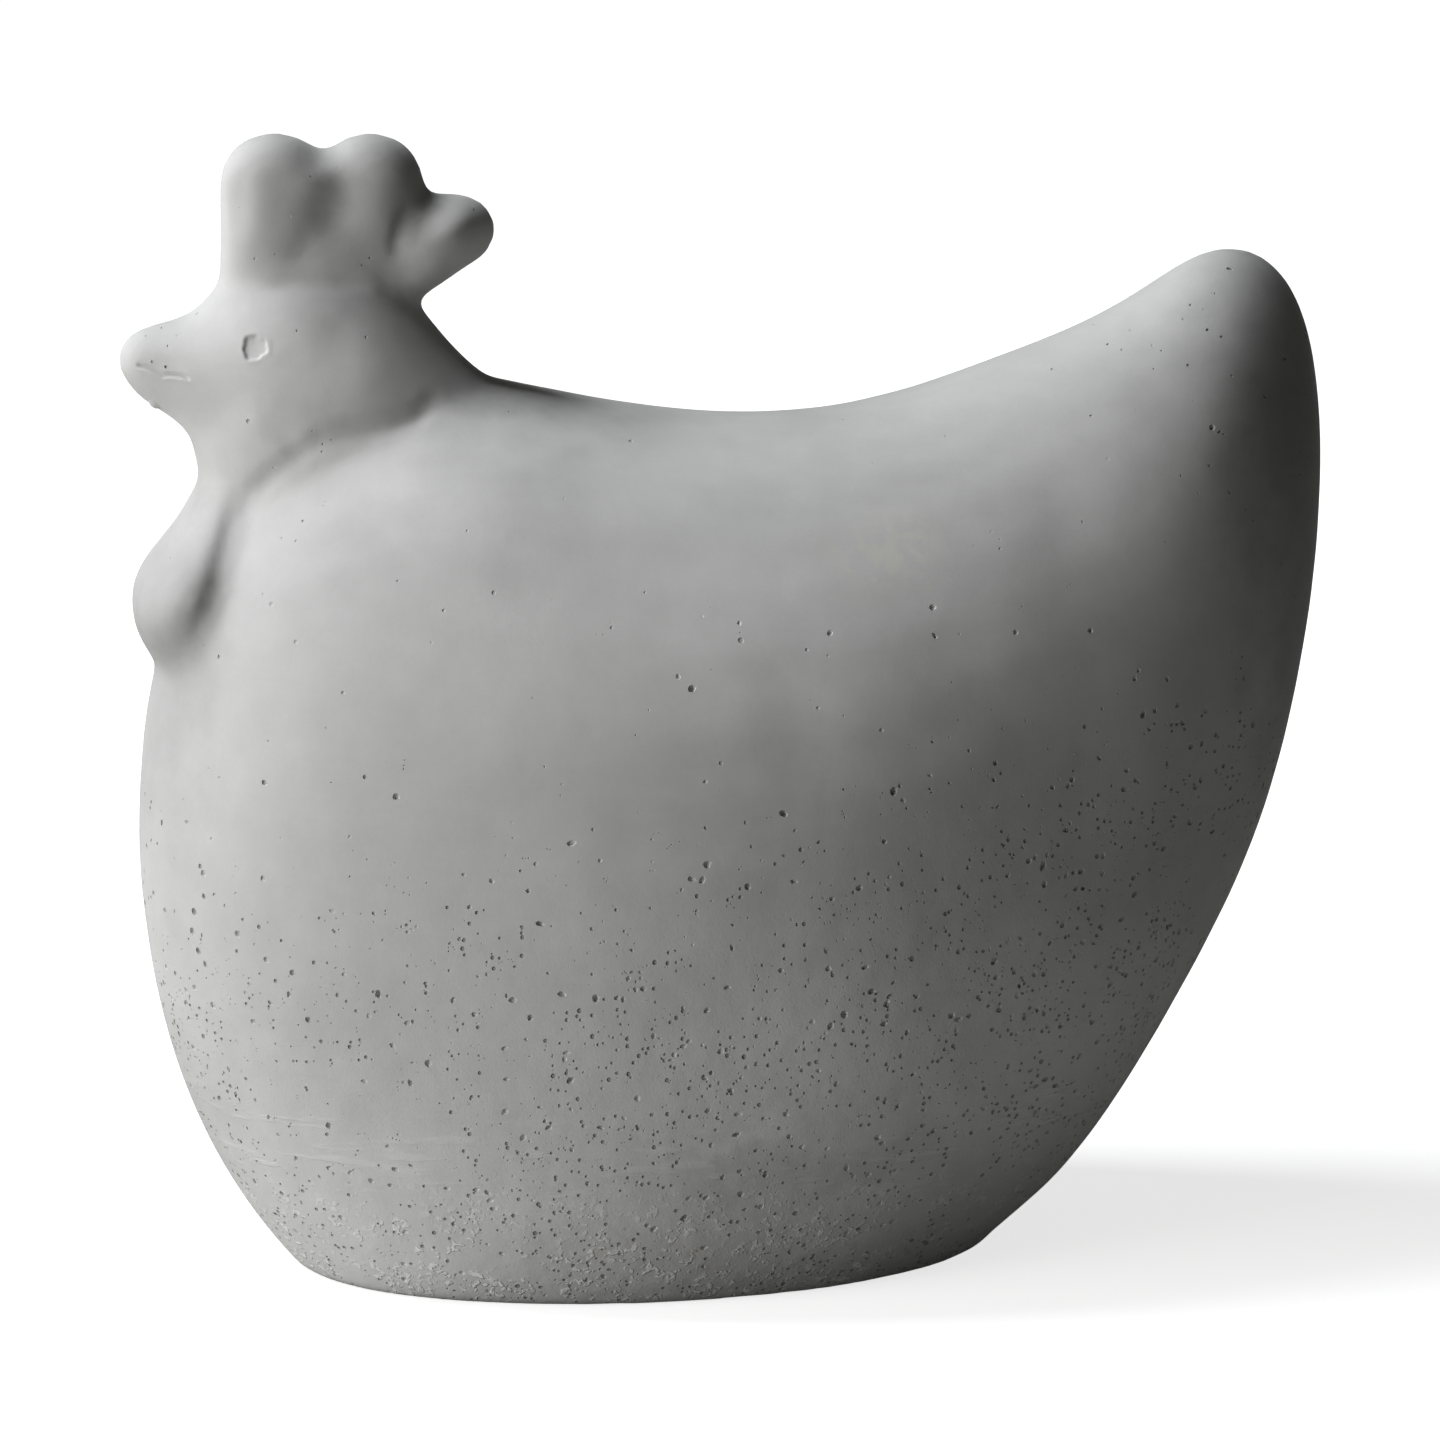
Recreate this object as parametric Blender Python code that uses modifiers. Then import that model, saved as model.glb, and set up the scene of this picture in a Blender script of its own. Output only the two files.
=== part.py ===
"""A hen figurine cast in one piece of fine concrete, standing on her flat foot.

Metres, +Z up. The hen faces -X, her sides face -Y and +Y, and z = 0 is the plane she stands on.
Reaches are distances from the middle of her length, and heights are above the foot.
"""
import math

import bmesh
import bpy
import numpy as np
from mathutils import Vector

MM = 0.001

# Body
BREAST_REACH = 125.5 * MM
BREAST_HEIGHT = 97.0 * MM
SHOULDER_REACH = 68.0 * MM
SHOULDER_HEIGHT = 189.5 * MM
SADDLE_HEIGHT = 180.2 * MM
TAIL_REACH = 107.0 * MM
TAIL_HEIGHT = 212.6 * MM
RUMP_REACH = 125.5 * MM
RUMP_HEIGHT = 162.0 * MM
BODY_HALF_WIDTH = 67.0 * MM

# Foot
FOOT_FRONT = 95.0 * MM
FOOT_REAR = 56.0 * MM
FOOT_HALF_WIDTH = 43.6 * MM
FOOT_FULLNESS = 2.05
FOOT_EASE = 0.8 * MM

# Head and beak
HEAD_REACH = 87.0 * MM
CROWN_HEIGHT = 212.0 * MM
CROWN_RISE = 3.0 * MM
HEAD_HALF_LENGTH = 24.0 * MM
NECK_HALF_WIDTH = 20.5 * MM
BEAK_REACH = 127.0 * MM
BEAK_HEIGHT = 195.0 * MM
BEAK_HALF_HEIGHT = 9.0 * MM
BEAK_HALF_WIDTH = 9.5 * MM

# Comb
COMB_HEIGHT = 240.2 * MM
COMB_FRONT = 106.8 * MM
COMB_REAR = 64.0 * MM
COMB_HALF_WIDTH = 8.8 * MM
VALLEY_HEIGHT = 236.4 * MM
VALLEY_REACH = 84.6 * MM
LOBE_OVERLAP = 1.2 * MM
REAR_LOBE_REACH = 49.3 * MM
REAR_LOBE_HEIGHT = 218.0 * MM
REAR_LOBE_HALF_HEIGHT = 9.3 * MM
REAR_LOBE_HALF_WIDTH = 9.6 * MM

# Wattle
WATTLE_REACH = 126.0 * MM
WATTLE_TOP = 176.0 * MM
WATTLE_BOTTOM = 130.0 * MM
WATTLE_HALF_WIDTH = 23.0 * MM

# Pressed eyes, placed from the middle of the head and the crown
EYE_AHEAD = 13.7 * MM
EYE_BELOW = 13.8 * MM
EYE_RADIUS = 2.45 * MM
EYE_DEPTH = 0.45 * MM

# Scratched mouth, placed from the tip of the beak
MOUTH_SET_BACK = 3.3 * MM
MOUTH_LENGTH = 9.0 * MM
MOUTH_BELOW = 2.4 * MM
MOUTH_DROP = 1.8 * MM
MOUTH_RADIUS = 0.5 * MM
MOUTH_POINTS = 7

# How finely the shape is worked
SECTION_POINTS = 40
STEPS_PER_RIB = 6
VOXEL = 1.6 * MM
SOFTENING_PASSES = 8
TRIANGLES = 9000
CONCRETE_COLOUR = (0.47, 0.48, 0.475, 1.0)
CONCRETE_ROUGHNESS = 0.85


def mix(start, end, share):
    return start + (end - start) * share


def smooth_rows(rows, steps):
    """Rows of numbers joined by a natural cubic spline, with this many steps from row to row."""
    rows = np.array(rows, float)
    gaps = np.linalg.norm(np.diff(rows[:, :5], axis=0), axis=1)
    count = len(rows)
    matrix = np.eye(count)
    right = np.zeros_like(rows)
    for i in range(1, count - 1):
        matrix[i, i - 1:i + 2] = gaps[i - 1], 2 * (gaps[i - 1] + gaps[i]), gaps[i]
        slopes = np.diff(rows[i - 1:i + 2], axis=0) / gaps[i - 1:i + 1, None]
        right[i] = 6 * (slopes[1] - slopes[0])
    bend = np.linalg.solve(matrix, right)
    made = []
    for i in range(count - 1):
        for b in 1 - np.arange(steps) / steps:
            a = 1 - b
            curve = (a ** 3 - a) * bend[i + 1] + (b ** 3 - b) * bend[i]
            made.append(a * rows[i + 1] + b * rows[i] + curve * gaps[i] ** 2 / 6)
    made.append(rows[-1])
    return np.array(made)


def add_form(mesh, ribs):
    """Lofts a closed form through ribs: (low x, low z, high x, high z, half width, fullness).

    Each rib is a superellipse that stands across the middle plane between its low and its high point.
    The first and the last rib are tips of no width. The curves run on through them, to round them.
    """
    first, last = ribs[1], ribs[-2]
    before = (first[2], first[3], first[0], first[1], -first[4], first[5])
    after = (last[2], last[3], last[0], last[1], -last[4], last[5])
    rows = smooth_rows([before, *ribs, after], STEPS_PER_RIB)[STEPS_PER_RIB:-STEPS_PER_RIB]
    rings = []
    for low_x, low_z, high_x, high_z, half_width, fullness in rows[1:-1]:
        low, high = Vector((low_x, 0, low_z)), Vector((high_x, 0, high_z))
        middle, half = (low + high) / 2, (high - low) / 2
        ring = []
        for i in range(SECTION_POINTS):
            turn = 2 * math.pi * i / SECTION_POINTS
            along = math.copysign(abs(math.cos(turn)) ** (2 / fullness), math.cos(turn))
            across = math.copysign(abs(math.sin(turn)) ** (2 / fullness), math.sin(turn))
            ring.append(mesh.verts.new(middle + half * along + Vector((0, half_width * across, 0))))
        rings.append(ring)
    faces = []
    for one, other in zip(rings, rings[1:]):
        for i in range(SECTION_POINTS):
            j = (i + 1) % SECTION_POINTS
            faces.append(mesh.faces.new((one[i], one[j], other[j], other[i])))
    for ring, row in ((rings[0], rows[0]), (rings[-1], rows[-1])):
        tip = mesh.verts.new((row[0], 0, row[1]))
        for i in range(SECTION_POINTS):
            faces.append(mesh.faces.new((ring[i], ring[(i + 1) % SECTION_POINTS], tip)))
    bmesh.ops.recalc_face_normals(mesh, faces=faces)


def foot_rib(low_x, high_x, high_z, half_width, fullness):
    """A rib of the body that reaches just so far below the ground that it is cut at the foot's width."""
    middle = (FOOT_REAR - FOOT_FRONT) / 2
    half = (FOOT_REAR + FOOT_FRONT) / 2
    inward = max(0.0, 1 - abs((low_x - middle) / half) ** FOOT_FULLNESS)
    foot = FOOT_HALF_WIDTH * inward ** (1 / FOOT_FULLNESS)
    share = min(foot / half_width, 1.0)
    cut = (1 - (1 - share ** fullness) ** (1 / fullness)) / 2
    return (low_x, -high_z * cut / (1 - cut), high_x, high_z, half_width, fullness)


def body_ribs():
    """Breast to rump. Each rib's upper end is on the back, and its lower end on the belly."""
    front, breast, shoulder = BREAST_REACH, BREAST_HEIGHT, SHOULDER_HEIGHT
    saddle, tail = SADDLE_HEIGHT, TAIL_HEIGHT
    rear, rump = RUMP_REACH, RUMP_HEIGHT
    wide = BODY_HALF_WIDTH
    return [
        (-front, breast, -front, breast, 0, 2.0),
        (-front * 0.988, breast * 0.72, -front * 0.979, mix(breast, shoulder, 0.263), wide * 0.2, 2.0),
        (-front * 0.953, breast * 0.49, -front * 0.924, mix(breast, shoulder, 0.52), wide * 0.37, 2.0),
        (-front * 0.892, breast * 0.28, -front * 0.855, mix(breast, shoulder, 0.72), wide * 0.52, 2.0),
        (-mix(FOOT_FRONT, front, 0.14), breast * 0.065, -front * 0.74, mix(breast, shoulder, 0.876),
         wide * 0.68, 2.0),
        foot_rib(-FOOT_FRONT * 0.82, -SHOULDER_REACH, shoulder, wide * 0.83, 2.0),
        foot_rib(-FOOT_FRONT * 0.47, -SHOULDER_REACH * 0.55, mix(saddle, shoulder, 0.6), wide * 0.95, 2.0),
        foot_rib(-FOOT_FRONT * 0.05, -SHOULDER_REACH * 0.07, saddle, wide, 2.05),
        foot_rib(FOOT_REAR * 0.53, TAIL_REACH * 0.25, mix(saddle, tail, 0.03), wide * 0.97, 2.05),
        (FOOT_REAR * 0.97, -FOOT_EASE, TAIL_REACH * 0.53, mix(saddle, tail, 0.29), wide * 0.85, 2.05),
        (mix(FOOT_REAR, rear, 0.268), rump * 0.1135, TAIL_REACH * 0.77, mix(saddle, tail, 0.61),
         wide * 0.72, 2.0),
        (mix(FOOT_REAR, rear, 0.565), rump * 0.302, TAIL_REACH * 0.945, mix(saddle, tail, 0.95),
         wide * 0.56, 1.95),
        (mix(FOOT_REAR, rear, 0.755), rump * 0.455, mix(TAIL_REACH, rear, 0.27), mix(rump, tail, 0.975),
         wide * 0.44, 1.9),
        (mix(FOOT_REAR, rear, 0.9), rump * 0.64, mix(TAIL_REACH, rear, 0.76), mix(rump, tail, 0.8),
         wide * 0.31, 1.9),
        (rear * 0.985, rump * 0.82, rear * 0.995, mix(rump, tail, 0.49), wide * 0.18, 2.0),
        (rear, rump, rear, rump, 0, 2.0),
    ]


def neck_ribs():
    """Crown to the root of the neck, which is buried in the body."""
    middle, half, wide = -HEAD_REACH, HEAD_HALF_LENGTH, NECK_HALF_WIDTH
    crown, root = CROWN_HEIGHT, mix(BREAST_HEIGHT, SHOULDER_HEIGHT, 0.585)
    return [
        (middle, crown + CROWN_RISE, middle, crown + CROWN_RISE, 0, 2.0),
        (middle - half * 0.67, crown, middle + half * 0.62, mix(crown, root, 0.02), wide * 0.46, 2.0),
        (middle - half * 0.96, mix(crown, root, 0.1), middle + half * 0.86, mix(crown, root, 0.11),
         wide * 0.68, 2.0),
        (middle - half * 1.1, mix(crown, root, 0.21), middle + half * 1.06, mix(crown, root, 0.21),
         wide * 0.82, 2.0),
        (middle - half * 1.16, mix(crown, root, 0.34), middle + half * 1.31, mix(crown, root, 0.32),
         wide * 0.93, 2.0),
        (middle - half * 1.12, mix(crown, root, 0.49), middle + half * 1.63, mix(crown, root, 0.44),
         wide, 2.0),
        (middle - half * 1.04, mix(crown, root, 0.67), middle + half * 1.75, mix(crown, root, 0.58),
         wide, 2.0),
        (middle - half * 0.7, mix(crown, root, 0.88), middle + half * 1.3, mix(crown, root, 0.88),
         wide * 0.8, 2.0),
        (middle + half * 0.4, mix(crown, root, 1.08), middle + half * 0.4, mix(crown, root, 1.08), 0, 2.0),
    ]


def beak_ribs():
    """Tip of the beak to its root, which widens into the cheeks."""
    tip, mid, high, wide = -BEAK_REACH, BEAK_HEIGHT, BEAK_HALF_HEIGHT, BEAK_HALF_WIDTH
    length = BEAK_REACH - HEAD_REACH
    return [
        (tip, mid, tip, mid, 0, 2.0),
        (tip + length * 0.035, mid - high * 0.62, tip + length * 0.05, mid + high * 0.5, wide * 0.45, 2.0),
        (tip + length * 0.115, mid - high * 1.06, tip + length * 0.15, mid + high * 0.72, wide * 0.7, 2.0),
        (tip + length * 0.24, mid - high * 1.42, tip + length * 0.31, mid + high * 0.89, wide, 2.0),
        (tip + length * 0.4, mid - high * 2.0, tip + length * 0.5, mid + high * 1.3, wide * 1.32, 2.0),
        (tip + length * 0.62, mid - high * 2.2, tip + length * 0.68, mid + high * 1.5, wide * 1.65, 2.0),
        (tip + length * 0.95, mid, tip + length * 0.95, mid, 0, 2.0),
    ]


def plate_ribs():
    """The web of the comb, below and between its upright lobes."""
    middle, half = -(COMB_FRONT + COMB_REAR) / 2, (COMB_FRONT - COMB_REAR) / 2
    top, root, wide = VALLEY_HEIGHT, CROWN_HEIGHT, COMB_HALF_WIDTH
    return [
        (middle, top, middle, top, 0, 2.4),
        (middle - half * 0.55, mix(root, top, 0.95), middle + half * 0.55, mix(root, top, 0.95),
         wide * 0.5, 2.4),
        (middle - half * 0.93, mix(root, top, 0.8), middle + half * 0.93, mix(root, top, 0.8),
         wide * 0.82, 2.6),
        (middle - half * 0.93, mix(root, top, 0.45), middle + half * 0.96, mix(root, top, 0.45),
         wide * 0.9, 2.8),
        (middle - half, root, middle + half * 0.95, root, wide * 1.1, 2.8),
        (middle, mix(root, top, -0.5), middle, mix(root, top, -0.5), 0, 2.4),
    ]


def lobe_ribs(front, rear):
    """One upright lobe of the comb, between these two reaches."""
    middle, half = -(front + rear) / 2, (front - rear) / 2
    top, root, wide = COMB_HEIGHT, CROWN_HEIGHT, COMB_HALF_WIDTH
    return [
        (middle, top, middle, top, 0, 2.0),
        (middle - half * 0.62, mix(root, top, 0.93), middle + half * 0.62, mix(root, top, 0.93),
         wide * 0.66, 2.0),
        (middle - half * 0.92, mix(root, top, 0.75), middle + half * 0.92, mix(root, top, 0.75),
         wide * 0.94, 2.3),
        (middle - half * 0.96, mix(root, top, 0.45), middle + half, mix(root, top, 0.45), wide, 2.6),
        (middle - half * 0.94, mix(root, top, 0.1), middle + half * 0.97, mix(root, top, 0.1), wide, 2.6),
        (middle, mix(root, top, -0.4), middle, mix(root, top, -0.4), 0, 2.0),
    ]


def rear_lobe_ribs():
    """The egg-shaped lobe at the back of the comb, from its end to its root."""
    end, mid = -REAR_LOBE_REACH, REAR_LOBE_HEIGHT
    high, wide = REAR_LOBE_HALF_HEIGHT, REAR_LOBE_HALF_WIDTH
    root = -mix(COMB_REAR, VALLEY_REACH, 0.54)
    return [
        (end, mid + high * 0.2, end, mid + high * 0.2, 0, 2.0),
        (mix(end, root, 0.11), mid - high * 0.52, mix(end, root, 0.13), mid + high * 0.82, wide * 0.63, 2.0),
        (mix(end, root, 0.3), mid - high * 0.8, mix(end, root, 0.33), mid + high * 1.0, wide * 0.93, 2.0),
        (mix(end, root, 0.54), mid - high * 1.18, mix(end, root, 0.56), mid + high * 0.9, wide, 2.0),
        (mix(end, root, 0.8), mid - high * 1.33, mix(end, root, 0.8), mid + high * 0.5, wide * 0.9, 2.0),
        (mix(end, root, 1.1), mid - high * 0.6, mix(end, root, 1.1), mid - high * 0.6, 0, 2.0),
    ]


def wattle_ribs():
    """The wattle, a drop that widens from the throat down to the breast."""
    reach, wide = -WATTLE_REACH, WATTLE_HALF_WIDTH
    top, bottom = WATTLE_TOP, WATTLE_BOTTOM
    return [
        (reach * 0.84, top, reach * 0.84, top, 0, 2.0),
        (reach * 0.903, mix(bottom, top, 0.76), reach * 0.79, mix(bottom, top, 0.7), wide * 0.66, 2.0),
        (reach * 0.943, mix(bottom, top, 0.59), reach * 0.81, mix(bottom, top, 0.51), wide * 0.87, 2.1),
        (reach * 0.988, mix(bottom, top, 0.42), reach * 0.83, mix(bottom, top, 0.34), wide, 2.2),
        (reach, mix(bottom, top, 0.28), reach * 0.85, mix(bottom, top, 0.21), wide * 0.93, 2.2),
        (reach * 0.985, mix(bottom, top, 0.13), reach * 0.87, mix(bottom, top, 0.09), wide * 0.68, 2.1),
        (reach * 0.93, bottom, reach * 0.93, bottom, 0, 2.0),
    ]


def clear_scene():
    for thing in list(bpy.data.objects):
        bpy.data.objects.remove(thing, do_unlink=True)


def new_collection(name):
    collection = bpy.data.collections.new(name)
    bpy.context.scene.collection.children.link(collection)
    return collection


def new_object(name, mesh, collection):
    """An object from a bmesh, which is freed."""
    data = bpy.data.meshes.new(name)
    mesh.to_mesh(data)
    mesh.free()
    data.shade_smooth()
    thing = bpy.data.objects.new(name, data)
    collection.objects.link(thing)
    return thing


def concrete():
    material = bpy.data.materials.new("cast_concrete")
    material.use_nodes = True
    shader = material.node_tree.nodes["Principled BSDF"]
    shader.inputs["Base Color"].default_value = CONCRETE_COLOUR
    shader.inputs["Roughness"].default_value = CONCRETE_ROUGHNESS
    shader.inputs["Metallic"].default_value = 0.0
    return material


def cast_body(collection):
    """All the forms, grown together into one body with soft hollows where they meet."""
    mesh = bmesh.new()
    add_form(mesh, body_ribs())
    sawn = bmesh.ops.bisect_plane(
        mesh, geom=mesh.verts[:] + mesh.edges[:] + mesh.faces[:],
        plane_co=(0, 0, -FOOT_EASE), plane_no=(0, 0, -1), clear_outer=True)
    rim = [edge for edge in sawn["geom_cut"] if isinstance(edge, bmesh.types.BMEdge)]
    bmesh.ops.holes_fill(mesh, edges=rim, sides=0)
    add_form(mesh, neck_ribs())
    add_form(mesh, beak_ribs())
    add_form(mesh, plate_ribs())
    add_form(mesh, lobe_ribs(COMB_FRONT, VALLEY_REACH - LOBE_OVERLAP))
    add_form(mesh, lobe_ribs(VALLEY_REACH + LOBE_OVERLAP, COMB_REAR))
    add_form(mesh, rear_lobe_ribs())
    add_form(mesh, wattle_ribs())
    hen = new_object("hen", mesh, collection)
    hen.data.materials.append(concrete())
    grown = hen.modifiers.new("grown_together", "REMESH")
    grown.mode = "VOXEL"
    grown.voxel_size = VOXEL
    grown.use_smooth_shade = True
    soft = hen.modifiers.new("softened", "SMOOTH")
    soft.factor = 0.5
    soft.iterations = SOFTENING_PASSES
    return hen


def evaluated(thing):
    return thing.evaluated_get(bpy.context.evaluated_depsgraph_get())


def skin_point(hen, x, z, side):
    """Where a line across the hen first meets her skin on this side, and the outward direction there."""
    start = Vector((x, side * BODY_HALF_WIDTH * 2, z))
    _, point, normal, _ = evaluated(hen).ray_cast(start, Vector((0, -side, 0)))
    return point, normal


def cut(hen, cutter):
    cutter.hide_render = True
    cutter.display_type = "WIRE"
    cutting = hen.modifiers.new(cutter.name, "BOOLEAN")
    cutting.operation = "DIFFERENCE"
    cutting.solver = "EXACT"
    cutting.object = cutter


def thin_out(hen):
    """Fewer and larger facets where the surface is nearly flat."""
    facets = sum(len(face.vertices) - 2 for face in evaluated(hen).data.polygons)
    thinned = hen.modifiers.new("thinned", "DECIMATE")
    thinned.ratio = TRIANGLES / facets


def foot_cutter(collection):
    """The ground, which cuts the foot flat."""
    mesh = bmesh.new()
    bmesh.ops.create_cube(mesh, size=4 * BREAST_REACH)
    bmesh.ops.translate(mesh, verts=mesh.verts, vec=(0, 0, -2 * BREAST_REACH))
    return new_object("ground", mesh, collection)


def eye_cutter(point, normal, name, collection):
    """A small round stamp, pressed square to the skin."""
    mesh = bmesh.new()
    bmesh.ops.create_cone(mesh, cap_ends=True, segments=24, radius1=EYE_RADIUS, radius2=EYE_RADIUS,
                          depth=EYE_RADIUS)
    turn = Vector((0, 0, 1)).rotation_difference(normal).to_matrix()
    bmesh.ops.rotate(mesh, verts=mesh.verts, matrix=turn)
    bmesh.ops.translate(mesh, verts=mesh.verts, vec=point + normal * (EYE_RADIUS / 2 - EYE_DEPTH))
    return new_object(name, mesh, collection)


def mouth_cutter(points, name, collection):
    """A round scraper drawn along the skin through these points."""
    curve = bpy.data.curves.new(name, "CURVE")
    curve.dimensions = "3D"
    curve.bevel_depth = MOUTH_RADIUS
    curve.bevel_resolution = 2
    curve.use_fill_caps = True
    spline = curve.splines.new("POLY")
    spline.points.add(len(points) - 1)
    for knot, point in zip(spline.points, points):
        knot.co = (*point, 1)
    tube = bpy.data.objects.new(name + "_line", curve)
    collection.objects.link(tube)
    mesh = bmesh.new()
    mesh.from_mesh(evaluated(tube).to_mesh())
    bmesh.ops.remove_doubles(mesh, verts=mesh.verts, dist=MOUTH_RADIUS / 20)
    bpy.data.objects.remove(tube)
    return new_object(name, mesh, collection)


def mark_face(hen, side, hand, cutters):
    """The cutters for the eye and the mouth on one side of the head."""
    point, normal = skin_point(hen, -HEAD_REACH - EYE_AHEAD, CROWN_HEIGHT - EYE_BELOW, side)
    eye = eye_cutter(point, normal, "eye_" + hand, cutters)
    line = []
    for share in np.linspace(0, 1, MOUTH_POINTS):
        x = -BEAK_REACH + MOUTH_SET_BACK + MOUTH_LENGTH * share
        z = BEAK_HEIGHT - MOUTH_BELOW - MOUTH_DROP * share
        line.append(skin_point(hen, x, z, side)[0])
    return eye, mouth_cutter(line, "mouth_" + hand, cutters)


def main():
    clear_scene()
    figurine = new_collection("hen_figurine")
    cutters = new_collection("cutters")
    hen = cast_body(figurine)
    marks = mark_face(hen, -1, "left", cutters) + mark_face(hen, 1, "right", cutters)
    for mark in marks:
        cut(hen, mark)
    thin_out(hen)
    cut(hen, foot_cutter(cutters))


main()
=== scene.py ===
import math

import bmesh
import bpy
import numpy as np
from mathutils import Matrix, Vector, noise
from mathutils.bvhtree import BVHTree


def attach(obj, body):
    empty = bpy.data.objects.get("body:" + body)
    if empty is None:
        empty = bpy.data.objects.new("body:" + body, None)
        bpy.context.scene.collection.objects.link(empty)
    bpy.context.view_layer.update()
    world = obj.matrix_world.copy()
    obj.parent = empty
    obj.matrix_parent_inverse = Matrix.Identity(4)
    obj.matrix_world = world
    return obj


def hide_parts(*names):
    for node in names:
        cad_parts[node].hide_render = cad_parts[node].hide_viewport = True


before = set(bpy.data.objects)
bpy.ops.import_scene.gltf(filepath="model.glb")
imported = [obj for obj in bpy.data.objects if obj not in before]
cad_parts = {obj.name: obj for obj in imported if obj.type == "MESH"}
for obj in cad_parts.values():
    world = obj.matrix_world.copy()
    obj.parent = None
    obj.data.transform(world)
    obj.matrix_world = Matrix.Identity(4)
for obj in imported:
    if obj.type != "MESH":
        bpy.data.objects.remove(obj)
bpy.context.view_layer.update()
mm = 0.001


# small helpers

def ease(start, end, value):  # 0 at the start, 1 at the end, soft at both
    share = np.clip((value - start) / (end - start), 0, 1)
    return share * share * (3 - 2 * share)


def direction(azimuth, elevation):  # azimuth 0 is in front of the near flank, -90 in front of the beak
    turn, rise = math.radians(azimuth), math.radians(elevation)
    return Vector((math.sin(turn) * math.cos(rise), -math.cos(turn) * math.cos(rise), math.sin(rise)))


def pointsOf(bm):
    return np.array([vert.co for vert in bm.verts])


def normalsOf(bm):
    bm.normal_update()
    return np.array([vert.normal for vert in bm.verts])


def moveTo(bm, points):
    for vert, point in zip(bm.verts, points):
        vert.co = point


def distanceTo(points, path):  # from each point to a line through the path's points
    nearest = np.full(len(points), np.inf)
    for start, end in zip(path, path[1:]):
        along = end - start
        share = np.clip((points - start) @ along / (along @ along), 0, 1)
        away = np.linalg.norm(points - start - share[:, None] * along, axis=1)
        nearest = np.minimum(nearest, away)
    return nearest


def newObject(name, bm):
    mesh = bpy.data.meshes.new(name)
    bm.to_mesh(mesh)
    bm.free()
    thing = bpy.data.objects.new(name, mesh)
    bpy.context.scene.collection.objects.link(thing)
    return thing


def applied(thing):  # the object's mesh with its modifiers worked in
    view = bpy.context.evaluated_depsgraph_get()
    mesh = bpy.data.meshes.new_from_object(thing.evaluated_get(view), depsgraph=view)
    old = thing.data
    thing.modifiers.clear()
    thing.data = mesh
    bpy.data.meshes.remove(old)
    return thing


# camera, at the photograph's angle

shot = {
    "target": (0, 0, 0.118),
    "azimuth": -10,
    "elevation": 12,
    "distance": 1.2,
    "lens": 141.98,
    "sensor": 36,
    "shiftX": -0.00847,
    "shiftY": -0.01248,
}


def placeCamera():
    data = bpy.data.cameras.new("camera")
    data.sensor_width = shot["sensor"]
    data.lens = shot["lens"]
    data.shift_x = shot["shiftX"]
    data.shift_y = shot["shiftY"]
    camera = bpy.data.objects.new("camera", data)
    bpy.context.scene.collection.objects.link(camera)
    back = direction(shot["azimuth"], shot["elevation"])
    camera.location = Vector(shot["target"]) + back * shot["distance"]
    camera.rotation_euler = back.to_track_quat("Z", "Y").to_euler()
    bpy.context.scene.camera = camera


placeCamera()


# the casting itself

casting = {
    "voxel": 1.25 * mm,
    "bodyPasses": 26,
    "headShare": 0.16,  # of the body's smoothing passes
    "footShare": 0.3,
    "neckLine": (-45 * mm, 185 * mm),  # a point on the slanted line between head and body
    "neckSlant": (-0.665, 0.747),
    "neckBand": 7 * mm,
    "waves": [(34 * mm, 0.26 * mm), (11 * mm, 0.07 * mm)],  # size and height of the hand-formed unevenness
    "triangles": 72000,
}


def headShare(points):  # 1 on head, comb and wattle, 0 on the body
    x, z = casting["neckLine"]
    slantX, slantZ = casting["neckSlant"]
    above = (points[:, 0] - x) * slantX + (points[:, 2] - z) * slantZ
    return ease(-casting["neckBand"], casting["neckBand"], above)


def remeshed():
    bm = bmesh.new()
    bm.from_mesh(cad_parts["hen"].data)
    bmesh.ops.remove_doubles(bm, verts=bm.verts, dist=0.001 * mm)
    rough = newObject("henCasting", bm)
    skin = rough.modifiers.new("skin", "REMESH")
    skin.mode = "VOXEL"
    skin.voxel_size = casting["voxel"]
    return applied(rough)


def smoothSkin(bm):
    points = pointsOf(bm)
    passes = 1 - headShare(points) * (1 - casting["headShare"])
    passes *= casting["footShare"] + (1 - casting["footShare"]) * ease(1 * mm, 9 * mm, points[:, 2])
    passes = np.round(passes * casting["bodyPasses"])
    bm.verts.ensure_lookup_table()
    for turn in range(casting["bodyPasses"]):
        chosen = [bm.verts[i] for i in np.nonzero(passes > turn)[0]]
        bmesh.ops.smooth_vert(bm, verts=chosen, factor=0.5,
                              use_axis_x=True, use_axis_y=True, use_axis_z=True)


def addWaves(bm):
    points, normals = pointsOf(bm), normalsOf(bm)
    lift = np.zeros(len(points))
    for size, height in casting["waves"]:
        lift += [noise.noise(Vector(point / size)) * height for point in points]
    lift *= ease(0.5 * mm, 8 * mm, points[:, 2])  # the foot stays flat
    moveTo(bm, points + normals * lift[:, None])


# worked by hand before the casting: comb, creases and soft lumps, alike on both sides (x and z in mm)

comb = {
    "cornerHeights": (208 * mm, 226 * mm, 236 * mm),
    "corners": (-103 * mm, -99.6 * mm, -99 * mm),  # where the slanted front meets the flank
    "halfWidth": 8.7 * mm,
    "slant": 0.72,
    "round": 0.9 * mm,
    "from": 204 * mm,
    "to": 212 * mm,
}

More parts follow.
